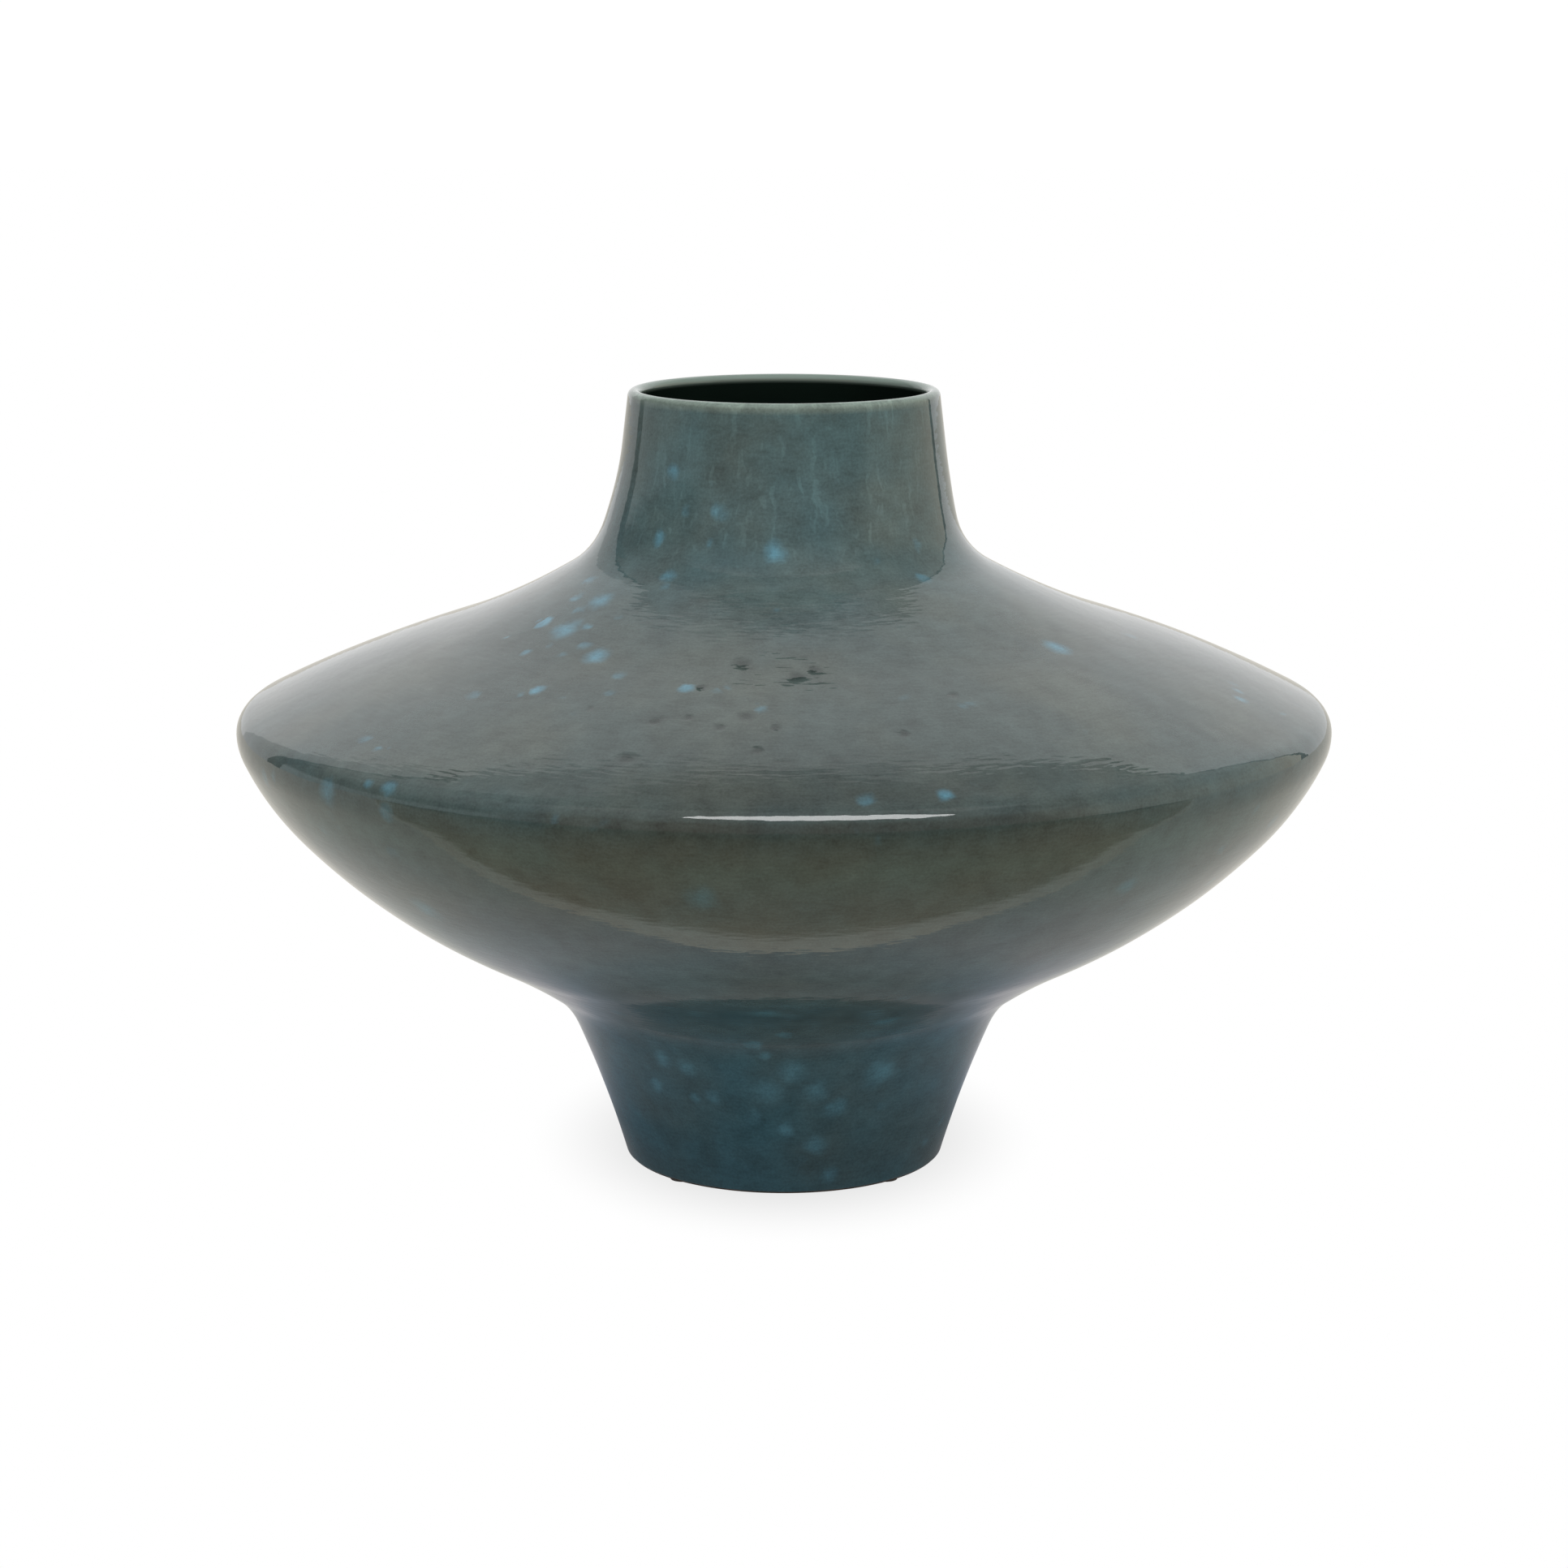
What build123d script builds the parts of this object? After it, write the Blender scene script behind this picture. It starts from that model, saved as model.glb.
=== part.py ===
"""A low, wide flower vase: a hollow stoneware disc on a tapered foot, with a short open neck, glazed inside and out.

The outline is a chain of tangent arcs that starts at the widest line and is walked up to the lip and down to the
foot. Every skin of the wall (outer glaze, clay, inner glaze) follows the same chain at its own depth, so the wall has
one thickness throughout. The origin is on the table under the middle of the foot, and +Z is up.
"""
from build123d import *

import math
import os

# Overall sizes, in millimetres.
DIAMETER = 400.0  # across the widest line
HEIGHT = 287.0  # from the table to the top of the lip
WIDEST_Z = 165.0  # height of the widest line
PAD_HEIGHT = 1.0  # the felt pads hold the clay off the table by this much
PAD_DIAMETER = 9.0
PAD_COUNT = 4

# The wall, from the outside in.
GLAZE = 0.5
CLAY = 3.8
WALL = GLAZE + CLAY + GLAZE
RIDGE_WIDTH = 2.2  # the ridge of the V joint at the widest line
RIDGE_DEPTH = 1.2

# The foot.
RING_WIDTH = 11.0  # the bare clay ring that carries the vase
RECESS = 3.5  # how far the underside is set up inside the ring
FLOOR = 4.5  # clay thickness of the floor inside the foot
GLAZE_LINE = 0.6  # the outer glaze stops this far above the ring's bottom edge
HEEL_RADIUS = 8.0  # inside corner between the floor and the wall, on the clay
RING_EDGE = 0.5  # rounding of the ring's corners
RECESS_MARGIN = 1.0  # bare clay left around the glaze in the recess

# The glazed outline, walked away from the widest line: (radius, lean of the wall from vertical at the end, in degrees).
# A positive radius bulges outwards, and a negative one is hollow.
SHOULDER_TO_NECK = [
    (9.5, 62.7),  # upper half of the brow
    (420.0, 72.5),  # shoulder
    (-270.0, 60.7),  # where the shoulder turns hollow
    (-28.0, 15.9),  # root of the neck
    (-180.0, 6.9),  # neck, which runs on straight to the lip
]
BELLY_TO_WAIST = [
    (17.0, 24.4),  # lower half of the brow
    (100.0, 43.7),  # upper belly
    (230.0, 63.0),  # belly
    (-240.0, 54.9),  # where the belly turns hollow
    (-33.0, 23.5),  # waist
]
FOOT_WALL_RADIUS = -420.0  # the foot's side, down to the table

UP, DOWN = 1, -1


def walk_to(stretches, depth, way):
    """Where a walk of these stretches ends, as (radius, height, lean in degrees)."""
    r, z, lean = DIAMETER / 2 - depth, WIDEST_Z, 0.0
    for radius, end_lean in stretches:
        bend = radius - depth
        r += bend * (math.cos(math.radians(end_lean)) - math.cos(math.radians(lean)))
        z += way * bend * (math.sin(math.radians(end_lean)) - math.sin(math.radians(lean)))
        lean = end_lean
    return r, z, lean


def walk(stretches, depth, way):
    """The outline's arcs, depth inside the glazed surface, from the widest line up or down."""
    arcs = []
    for count, (radius, end_lean) in enumerate(stretches):
        r, z, lean = walk_to(stretches[:count], depth, way)
        heading = (-math.sin(math.radians(lean)), way * math.cos(math.radians(lean)))
        arcs.append(JernArc((r, z), heading, abs(radius - depth), way * (end_lean - lean)))
    return arcs


def reach(stretches, last_radius, depth, way, height):
    """The stretches with a last one of this radius, cut where it comes to this height."""
    _, z, lean = walk_to(stretches, depth, way)
    sine = math.sin(math.radians(lean)) + way * (height - z) / (last_radius - depth)
    return stretches + [(last_radius, math.degrees(math.asin(sine)))]


def reach_floor(height):
    """The lower stretches as the inside of the foot needs them: down its wall, round the heel and level at this height."""
    heel = HEEL_RADIUS + GLAZE + CLAY
    _, z, lean = walk_to(BELLY_TO_WAIST, 0.0, DOWN)
    start_sine = math.sin(math.radians(lean))
    sine = (height + heel - z - FOOT_WALL_RADIUS * start_sine) / (heel - FOOT_WALL_RADIUS)
    return BELLY_TO_WAIST + [(FOOT_WALL_RADIUS, math.degrees(math.asin(sine))), (heel, 90.0)]


def lip_middle():
    """The centre of the lip's rounding, which tops out at the vase's height."""
    r, z, lean = walk_to(SHOULDER_TO_NECK, 0.0, UP)
    slope = math.radians(lean)
    rise = HEIGHT - WALL / 2 + WALL / 2 * math.sin(slope) - z
    return r - rise * math.tan(slope) - WALL / 2 * math.cos(slope), HEIGHT - WALL / 2

def lip_arc(depth, start_lean, end_lean):
    """Part of the lip's rounding, at this depth, between two leans: 90 is the top of the lip."""
    return CenterArc(lip_middle(), WALL / 2 - depth, start_lean, end_lean - start_lean)

def up_to_lip(depth):
    """The outline at this depth from the widest line to the start of the lip's rounding."""
    arcs = walk(SHOULDER_TO_NECK, depth, UP)
    middle_r, middle_z = lip_middle()
    slope = math.radians(LIP_LEAN)
    lip_start = (middle_r + (WALL / 2 - depth) * math.cos(slope), middle_z + (WALL / 2 - depth) * math.sin(slope))
    return arcs + [Line(arcs[-1] @ 1, lip_start)]

def seam():
    """The V joint between the two shells: a ridge round the upper rim sits in a groove round the lower one."""
    middle = DIAMETER / 2 - GLAZE - CLAY / 2
    return Polyline(
        (middle + CLAY / 2, WIDEST_Z),
        (middle + RIDGE_WIDTH / 2, WIDEST_Z),
        (middle, WIDEST_Z - RIDGE_DEPTH),
        (middle - RIDGE_WIDTH / 2, WIDEST_Z),
        (middle - CLAY / 2, WIDEST_Z),
    ).edges()

def turned(edges):
    """A solid of revolution about the vase's axis from the edges of its half section."""
    section = make_face(edges)
    return revolve(Plane.XZ * section, Axis.Z)


RING_Z = PAD_HEIGHT
FLOOR_TOP = RING_Z + RECESS + FLOOR
LIP_LEAN = SHOULDER_TO_NECK[-1][1]
CAVITY_STRETCHES = reach_floor(FLOOR_TOP - GLAZE - CLAY)
RING_OUTER, _, _ = walk_to(reach(BELLY_TO_WAIST, FOOT_WALL_RADIUS, GLAZE, DOWN, RING_Z), GLAZE, DOWN)
RING_INNER = RING_OUTER - RING_WIDTH


def upper_shell():
    """Fired clay of the shoulder and neck, from the widest line to the lip."""
    lip = lip_arc(GLAZE, LIP_LEAN, LIP_LEAN + 180)
    return turned(up_to_lip(GLAZE) + [lip] + up_to_lip(GLAZE + CLAY) + seam())


def lower_shell():
    """Fired clay of the belly and foot, with the floor and the bare ring that the vase stands on."""
    outside = walk(reach(BELLY_TO_WAIST, FOOT_WALL_RADIUS, GLAZE, DOWN, RING_Z), GLAZE, DOWN)
    inside = walk(CAVITY_STRETCHES, GLAZE + CLAY, DOWN)
    underside = Polyline(
        outside[-1] @ 1,
        (RING_INNER, RING_Z),
        (RING_INNER, RING_Z + RECESS),
        (0, RING_Z + RECESS),
        (0, FLOOR_TOP),
        inside[-1] @ 1,
    )
    section = make_face(outside + inside + seam() + underside.edges())
    ring_corners = section.vertices().filter_by(lambda v: v.Y < FLOOR_TOP - 1 and v.X > RING_INNER - 1)
    section = fillet(ring_corners, RING_EDGE)
    return revolve(Plane.XZ * section, Axis.Z)


def outer_glaze():
    """Glaze over the outside, from just above the ring to the top of the lip."""
    glaze_end = RING_Z + GLAZE_LINE
    foot_face = reach(BELLY_TO_WAIST, FOOT_WALL_RADIUS, 0.0, DOWN, glaze_end)
    foot_back = reach(BELLY_TO_WAIST, FOOT_WALL_RADIUS, GLAZE, DOWN, glaze_end)
    face = walk(foot_face, 0.0, DOWN) + up_to_lip(0.0) + [lip_arc(0.0, LIP_LEAN, 90)]
    back = walk(foot_back, GLAZE, DOWN) + up_to_lip(GLAZE) + [lip_arc(GLAZE, LIP_LEAN, 90)]
    foot_edge = Line(walk(foot_face, 0.0, DOWN)[-1] @ 1, walk(foot_back, GLAZE, DOWN)[-1] @ 1)
    lip_edge = Line(face[-1] @ 1, back[-1] @ 1)
    return turned(face + back + [foot_edge, lip_edge])


def inner_glaze():
    """Glaze over the inside, from the top of the lip down the wall and across the floor."""
    end = LIP_LEAN + 180
    back = [lip_arc(GLAZE, 90, end)] + up_to_lip(GLAZE + CLAY)
    back += walk(CAVITY_STRETCHES, GLAZE + CLAY, DOWN)
    face = [lip_arc(0.0, 90, end)] + up_to_lip(WALL) + walk(CAVITY_STRETCHES, WALL, DOWN)
    lip_edge = Line(face[0] @ 0, back[0] @ 0)
    middle = Polyline(back[-1] @ 1, (0, FLOOR_TOP), (0, FLOOR_TOP + GLAZE), face[-1] @ 1)
    return turned(back + face + [lip_edge] + middle.edges())


def base_glaze():
    """The disc of glaze in the recess under the foot."""
    disc = Cylinder(RING_INNER - RING_EDGE - RECESS_MARGIN, GLAZE, align=(Align.CENTER, Align.CENTER, Align.MAX))
    return Pos(0, 0, RING_Z + RECESS) * disc


def foot_pad(number):
    """One of the round felt pads stuck under the ring."""
    spot = PolarLocations(RING_OUTER - RING_WIDTH / 2, PAD_COUNT, start_angle=180 / PAD_COUNT)
    pad = Cylinder(PAD_DIAMETER / 2, PAD_HEIGHT, align=(Align.CENTER, Align.CENTER, Align.MIN))
    return spot.locations[number] * pad


def main():
    """Writes one STEP file per piece."""
    pieces = {
        "upper_shell": upper_shell(),
        "lower_shell": lower_shell(),
        "outer_glaze": outer_glaze(),
        "inner_glaze": inner_glaze(),
        "base_glaze": base_glaze(),
    }
    for number in range(PAD_COUNT):
        pieces[f"foot_pad_{number + 1}"] = foot_pad(number)
    os.makedirs("parts", exist_ok=True)
    for name, solid in pieces.items():
        export_step(solid, f"parts/{name}.step")


main()
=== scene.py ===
"""The looks of a low, wide stoneware flower vase with a mottled teal glaze, and the studio round it.

Every skin of the wall is turned here from the same outline as its CAD node, and stands for that node. Two
small changes make the turned pieces a real pot's: a gentle relief on the outer glaze, and a slight settling
of the clay, as drying and firing leave it. Sizes are in mm on the vase and in the floor's colour stops, and
in metres elsewhere in the studio.
"""

import logging
import math
from collections.abc import Callable, Sequence
from dataclasses import dataclass
from enum import Enum
from functools import partial

import bpy
import numpy as np
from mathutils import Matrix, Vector, noise


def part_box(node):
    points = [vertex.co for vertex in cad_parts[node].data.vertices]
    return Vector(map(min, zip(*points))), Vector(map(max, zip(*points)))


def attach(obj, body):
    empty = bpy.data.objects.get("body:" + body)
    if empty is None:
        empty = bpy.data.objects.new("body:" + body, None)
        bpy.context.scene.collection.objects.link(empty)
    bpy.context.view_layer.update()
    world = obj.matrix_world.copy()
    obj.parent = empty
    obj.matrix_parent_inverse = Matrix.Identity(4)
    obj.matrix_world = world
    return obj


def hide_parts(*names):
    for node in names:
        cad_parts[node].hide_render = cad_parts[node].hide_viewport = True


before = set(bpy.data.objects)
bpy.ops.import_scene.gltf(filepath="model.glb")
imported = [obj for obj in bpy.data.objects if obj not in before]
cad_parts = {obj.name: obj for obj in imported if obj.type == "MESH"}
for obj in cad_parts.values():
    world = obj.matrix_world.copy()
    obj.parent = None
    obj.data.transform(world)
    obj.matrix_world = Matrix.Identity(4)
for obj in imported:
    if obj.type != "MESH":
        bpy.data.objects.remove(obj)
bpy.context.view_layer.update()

MM = 0.001
LOG = logging.getLogger("vase")
Stretches = tuple[tuple[float, float], ...]
AddNode = Callable[..., bpy.types.Node]


def linear(colour: str) -> tuple[float, float, float, float]:
    """Turns an sRGB colour into Blender's linear one.

    Args:
        colour: Hex text such as "#3c5057".

    Returns:
        Red, green, blue and an alpha of 1.
    """
    parts = [int(colour[place : place + 2], 16) / 255 for place in (1, 3, 5)]
    red, green, blue = (c / 12.92 if c <= 0.04045 else ((c + 0.055) / 1.055) ** 2.4 for c in parts)
    return red, green, blue, 1.0


def add_node(
    tree: bpy.types.NodeTree,
    kind: str,
    inputs: dict[str | int, object] | None = None,
    stops: Sequence[tuple[float, str]] = (),
    **settings: object,
) -> bpy.types.Node:
    """Adds a node, sets its own properties and fills its sockets.

    Args:
        tree: The node tree that it goes into.
        kind: The node's type, without the leading "ShaderNode".
        inputs: What each input gets, by name or number: a plain value, or a socket to link from.
        stops: A colour ramp's stops in order, each with its place from 0 to 1 and its hex colour.
        **settings: The node's own properties, such as operation="MULTIPLY".

    Returns:
        The node.
    """
    made = tree.nodes.new("ShaderNode" + kind)
    for name, value in settings.items():
        setattr(made, name, value)
    for _ in stops[2:]:
        made.color_ramp.elements.new(0.5)
    for number, (place, colour) in enumerate(stops):
        stop = made.color_ramp.elements[number]
        stop.position, stop.color = place, linear(colour)
    for socket, value in (inputs or {}).items():
        if isinstance(value, bpy.types.NodeSocket):
            tree.links.new(value, made.inputs[socket])
        else:
            made.inputs[socket].default_value = value
    return made


def start_material(name: str) -> tuple[bpy.types.Material, AddNode]:
    """Makes a material without any nodes, and gives it with add_node for its own tree."""
    made = bpy.data.materials.new(name)
    made.use_nodes = True
    made.node_tree.nodes.clear()
    return made, partial(add_node, made.node_tree)


def show(name: str, data: bpy.types.ID) -> bpy.types.Object:
    """Puts a mesh, camera or lamp in the scene as an object of this name."""
    made = bpy.data.objects.new(name, data)
    bpy.context.scene.collection.objects.link(made)
    return made


def smooth(value: np.ndarray, start: float, end: float) -> np.ndarray:
    """Rises smoothly from 0 at start to 1 at end."""
    share = np.clip((value - start) / (end - start), 0.0, 1.0)
    return share * share * (3.0 - 2.0 * share)


class Way(Enum):
    """Which way the outline is walked from the widest line."""

    UP = 1
    DOWN = -1


@dataclass(frozen=True)
class Outline:
    """The glazed outline as tangent arcs, in mm, with every skin of the wall at its own depth under it.

    A stretch is (radius, lean of the wall from upright at its end in degrees), and a hollow one has a
    negative radius. A station is (r, z, lean in radians), with a negative lean where the wall faces down.
    """

    widest_radius: float
    widest_z: float
    height: float
    ring_z: float
    glaze: float = 0.5
    clay: float = 3.8
    recess: float = 3.5
    floor: float = 4.5
    ring_width: float = 11.0
    ring_edge: float = 0.5
    glaze_line: float = 0.6
    heel_radius: float = 8.0
    ridge_width: float = 2.2
    ridge_depth: float = 1.2
    foot_wall_radius: float = -420.0
    shoulder_to_neck: Stretches = ((9.5, 62.7), (420.0, 72.5), (-270.0, 60.7), (-28.0, 15.9), (-180.0, 6.9))
    belly_to_waist: Stretches = ((17.0, 24.4), (100.0, 43.7), (230.0, 63.0), (-240.0, 54.9), (-33.0, 23.5))

    @property
    def wall(self) -> float:
        """The whole wall's thickness."""
        return 2 * self.glaze + self.clay

    @property
    def floor_top(self) -> float:
        """Height of the clay floor inside the foot."""
        return self.ring_z + self.recess + self.floor

    @property
    def lip_lean(self) -> float:
        """The neck's lean where it meets the lip, in radians."""
        return math.radians(self.shoulder_to_neck[-1][1])

    def walk(self, stretches: Stretches, way: Way, spacing: float) -> np.ndarray:
        """Walks tangent arcs away from the widest line.

        Args:
            stretches: The arcs.
            way: Up to the neck or down to the foot.
            spacing: The longest step, which tight arcs divide further.

        Returns:
            One station a row.
        """
        r, z, lean = self.widest_radius, self.widest_z, 0.0
        stations = [(r, z, lean)]
        for radius, end_lean in stretches:
            end = math.radians(end_lean)
            turn = abs(end - lean)
            steps = max(2, math.ceil(abs(radius) * turn / spacing), math.ceil(turn / math.radians(7)))
            for at in np.linspace(lean, end, steps + 1)[1:]:
                across = radius * (math.cos(at) - math.cos(lean))
                along = radius * (math.sin(at) - math.sin(lean))
                stations.append((r + across, z + way.value * along, way.value * at))
            r, z, lean = stations[-1][0], stations[-1][1], end
        return np.array(stations)

    def lip_middle(self) -> tuple[float, float]:
        """The centre of the lip's rounding, as (r, z)."""
        r, z, _ = self.walk(self.shoulder_to_neck, Way.UP, 50.0)[-1]
        half, slope = self.wall / 2, self.lip_lean
        rise = self.height - half + half * math.sin(slope) - z
        return r - rise * math.tan(slope) - half * math.cos(slope), self.height - half

    def lip(self, start: float, end: float, steps: int = 8) -> np.ndarray:
        """Stations over the lip between two leans in radians: a quarter turn is its top."""
        middle_r, middle_z = self.lip_middle()
        leans = np.linspace(start, end, steps + 1)
        half = self.wall / 2
        return np.column_stack([middle_r + half * np.cos(leans), middle_z + half * np.sin(leans), leans])

    def upper(self, spacing: float) -> np.ndarray:
        """Stations from the widest line up to where the lip's rounding starts."""
        arcs = self.walk(self.shoulder_to_neck, Way.UP, spacing)
        start = self.lip(self.lip_lean, self.lip_lean)[0]
        steps = math.ceil((start[1] - arcs[-1][1]) / spacing)
        return np.vstack([arcs, np.linspace(arcs[-1], start, steps + 1)[1:]])

    def lower(self, spacing: float, height: float, depth: float = 0.0) -> np.ndarray:
        """Stations from the widest line down to where the skin at this depth comes to this height."""
        _, z, lean = self.walk(self.belly_to_waist, Way.DOWN, 50.0)[-1]
        z -= depth * math.sin(lean)
        sine = math.sin(-lean) - (height - z) / (self.foot_wall_radius - depth)
        foot = (self.foot_wall_radius, math.degrees(math.asin(sine)))
        return self.walk(self.belly_to_waist + (foot,), Way.DOWN, spacing)

    def cavity(self, spacing: float) -> np.ndarray:
        """Stations from the widest line down the inside of the foot and round the heel to the level floor."""
        heel = self.heel_radius + self.glaze + self.clay
        height = self.floor_top - self.glaze - self.clay
        _, z, lean = self.walk(self.belly_to_waist, Way.DOWN, 50.0)[-1]
        sine = (height + heel - z - self.foot_wall_radius * math.sin(-lean)) / (heel - self.foot_wall_radius)
        turns = ((self.foot_wall_radius, math.degrees(math.asin(sine))), (heel, 90.0))
        return self.walk(self.belly_to_waist + turns, Way.DOWN, spacing)

    @staticmethod
    def skin(stations: np.ndarray, depth: float | np.ndarray) -> np.ndarray:
        """The (r, z) points at this depth under the stations."""
        r, z, lean = stations.T
        return np.column_stack([r - depth * np.cos(lean), z - depth * np.sin(lean)])


def turn_up(section: np.ndarray, segments: int) -> tuple[np.ndarray, list[tuple[int, ...]]]:
    """Turns a closed section about the vase's axis.

    Args:
        section: The section's (r, z) points in mm, anticlockwise with r to the right.
        segments: How many steps the turn has.

    Returns:
        The points in mm and the faces, which look outwards. A point on the axis is one point, not a ring.
    """
    angles = np.linspace(0.0, 2 * math.pi, segments, endpoint=False)
    points: list[np.ndarray] = []
    starts: list[tuple[int, bool]] = []
    for r, z in section:
        on_axis = abs(r) < 1e-6
        starts.append((sum(map(len, points)), on_axis))
        ring = np.array([[0.0, 0.0, z]]) if on_axis else np.column_stack(
            [r * np.cos(angles), r * np.sin(angles), np.full(segments, z)]
        )
        points.append(ring)
    faces: list[tuple[int, ...]] = []
    for place, (low, low_axis) in enumerate(starts):
        high, high_axis = starts[(place + 1) % len(starts)]
        if low_axis and high_axis:
            continue
        for this in range(segments):
            after = (this + 1) % segments
            if low_axis:
                faces.append((low, high + after, high + this))
            elif high_axis:
                faces.append((low + this, low + after, high))
            else:
                faces.append((low + this, low + after, high + after, high + this))
    return np.vstack(points), faces


@dataclass(frozen=True)
class Settling:
    """How the soft clay settled before it was fired.

    The neck stands a hair to one side, one shoulder sank, and the front of the shoulder swells by the neck.
    """

    neck_shift: float = 1.2
    neck_z: float = 234.0
    neck_reach: float = 17.0
    shoulder_sag: float = 1.1
    shoulder_z: float = 195.0
    shoulder_reach: float = 18.0
    shoulder_side: tuple[float, float] = (35.0, 120.0)
    front_swell: float = 2.1
    swell_radii: tuple[float, float] = (150.0, 80.0)
    swell_heights: tuple[float, float] = (262.0, 226.0)
    swell_front: tuple[float, float] = (0.0, 70.0)
    swell_foot: tuple[float, float] = (170.0, 190.0)

    def settle(self, points: np.ndarray) -> np.ndarray:
        """Moves points in mm as the clay did, so that every skin of the wall stays in its place.

        Args:
            points: x, y and z, one point a row.

        Returns:
            The moved points.
        """
        x, y, z = points.T
        lean = self.neck_shift * np.exp(-(((z - self.neck_z) / self.neck_reach) ** 2))
        side = smooth(-x, *self.shoulder_side)
        sag = self.shoulder_sag * side * np.exp(-(((z - self.shoulder_z) / self.shoulder_reach) ** 2))
        front = smooth(-y, *self.swell_front) * smooth(np.hypot(x, y), *self.swell_radii)
        swell = self.front_swell * front * smooth(z, *self.swell_heights) * smooth(z, *self.swell_foot)
        return np.column_stack([x - lean, y, z - sag + swell])


def make_piece(
    name: str, points: np.ndarray, faces: list[tuple[int, ...]], material: bpy.types.Material, node: str
) -> None:
    """Makes a smooth piece with crisp corners, puts it on the vase's body and reports it.

    Args:
        name: The piece's name.
        points: Its points in mm.
        faces: Its faces, as point numbers.
        material: Its finish.
        node: The CAD node that it stands for.
    """
    mesh = bpy.data.meshes.new(name)
    mesh.from_pydata((points * MM).tolist(), [], faces)
    mesh.shade_smooth()
    mesh.set_sharp_from_angle(angle=math.radians(50))
    mesh.materials.append(material)
    piece = show(name, mesh)
    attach(piece, "root")
    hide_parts(node)
    LOG.info("%s: %d faces, stands for %s", name, len(faces), node)


@dataclass(frozen=True)
class Spot:
    """A soft spot in the glaze: its turn from the front in degrees, and its place and size in mm."""

    turn: float
    radius: float
    z: float
    size: float

    @property
    def place(self) -> tuple[float, float, float]:
        """Its centre in metres."""
        angle = math.radians(self.turn)
        return self.radius * MM * math.sin(angle), -self.radius * MM * math.cos(angle), self.z * MM


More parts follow.
